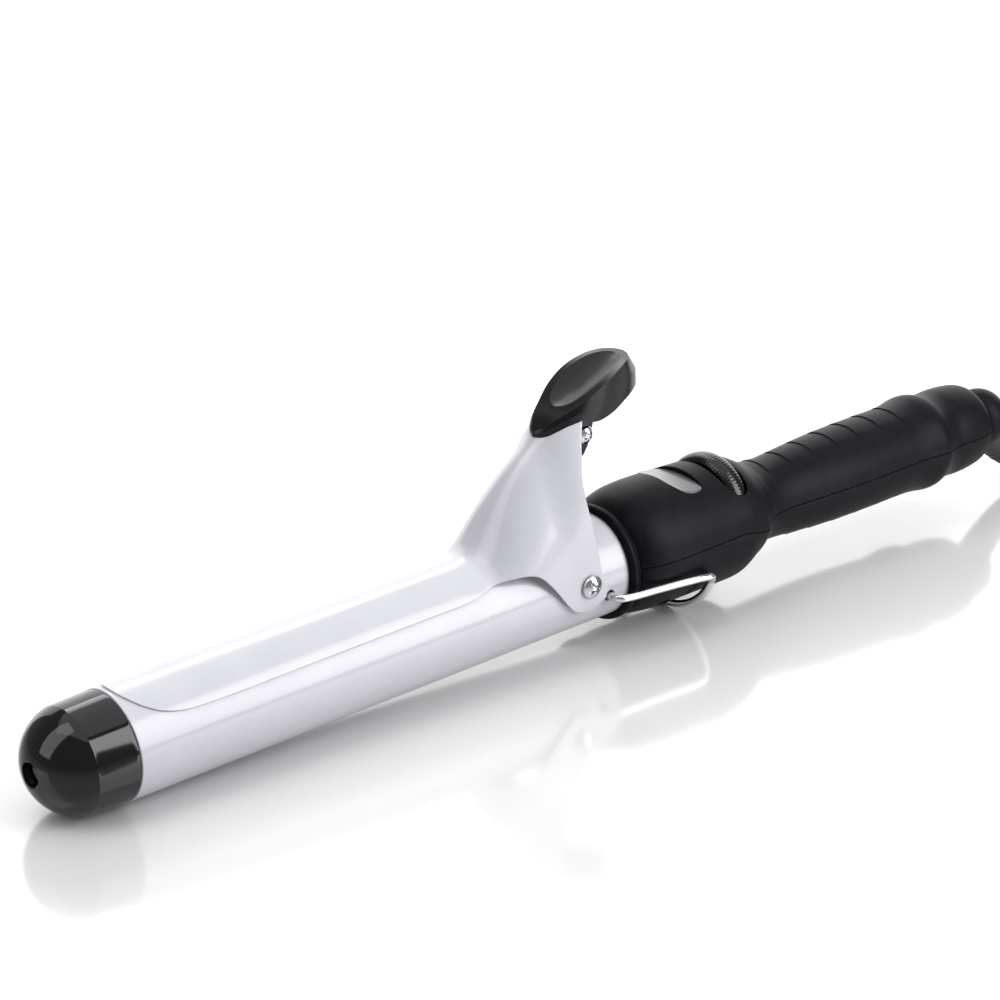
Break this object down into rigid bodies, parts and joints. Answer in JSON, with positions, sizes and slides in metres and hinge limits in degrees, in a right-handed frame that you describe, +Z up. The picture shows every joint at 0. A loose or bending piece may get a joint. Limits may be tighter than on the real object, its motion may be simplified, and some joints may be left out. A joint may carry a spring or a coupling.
{
  "type": "curling iron",
  "caption": "Hair curling iron with a white coated barrel, a sprung hair clip with thumb rest, a wire stand, a temperature wheel and a swivel mains cord in a hank.",
  "frame": {"origin": "on the surface it stands on, under the middle of the iron's own box, without the cord", "axes": "+X along the iron from the tip to the handle, +Z up, the clip and thumb rest on top"},
  "size_m": [0.6753, 0.057, 0.0885],
  "materials": {
    "white_coat": "gloss enamel",
    "tip_gloss": "polished",
    "handle_satin": "satin",
    "thumb_satin": "satin",
    "cord_rubber": "matte",
    "chrome": "polished",
    "steel": "satin",
    "aluminium": "as extruded",
    "ceramic": "unglazed",
    "grey_lens": "satin lens",
    "dial_gloss": "gloss",
    "board": "solder mask",
    "brass": "satin",
    "red_wire": "satin",
    "blue_wire": "satin",
    "lamp_red": "clear",
    "lamp_green": "clear"
  },
  "bodies": {
    "handle_and_barrel": {"tip_cap": "tip_gloss", "tip_screw": "steel", "barrel_tube": "white_coat", "heater_core": "aluminium", "heater_element": "ceramic", "thermistor": "ceramic", "thermal_fuse": "aluminium", "heat_shield": "ceramic", "heater_lead_line": "red_wire", "heater_lead_neutral": "blue_wire", "pivot_screw_left": "chrome", "pivot_screw_right": "chrome", "clip_spring": "steel", "collar_ring": "handle_satin", "handle_lower_shell": "handle_satin", "handle_upper_shell": "handle_satin", "housing_screw_front_left": "steel", "housing_screw_front_right": "steel", "housing_screw_middle": "steel", "housing_screw_rear": "steel", "indicator_window": "grey_lens", "lamp_power": "lamp_red", "lamp_ready": "lamp_green", "circuit_board": "board", "potentiometer": "ceramic", "contact_spring_line": "brass", "contact_spring_neutral": "brass", "cord_lead": "cord_rubber", "cord_hank": "cord_rubber", "cord_tail": "cord_rubber", "cord_tie": "cord_rubber", "plug_body": "cord_rubber", "plug_pin_left": "brass", "plug_pin_right": "brass"},
    "clip": {"clip_plate": "white_coat", "thumb_rest": "thumb_satin", "thumb_screw": "chrome"},
    "stand": {"stand_wire": "chrome"},
    "dial": {"control_dial": "dial_gloss", "dial_shaft": "steel"},
    "swivel": {"swivel_joint": "handle_satin", "slip_ring_line": "brass", "slip_ring_neutral": "brass", "strain_relief": "cord_rubber"}
  },
  "joints": [
    {"name": "clip_hinge", "type": "hinge", "parent": "handle_and_barrel", "child": "clip", "pos_m": [-0.02268, 0, 0.02499], "axis": [0, 1, 0], "range_deg": [0, 26], "stiffness_Nm_per_rad": 0.3, "springref_deg": -34.38},
    {"name": "stand_hinge", "type": "hinge", "parent": "handle_and_barrel", "child": "stand", "pos_m": [-0.01297, 0, 0.01881], "axis": [0, 1, 0], "range_deg": [0, 105]},
    {"name": "dial_turn", "type": "hinge", "parent": "handle_and_barrel", "child": "dial", "pos_m": [0.04318, 0, 0.03005], "axis": [0.9994, 0, 0.0344], "range_deg": [0, 270]},
    {"name": "cord_swivel", "type": "hinge", "parent": "handle_and_barrel", "child": "swivel", "pos_m": [0.17532, 0, 0.02829], "axis": [0.9994, 0, 0.0344], "continuous": true}
  ]
}
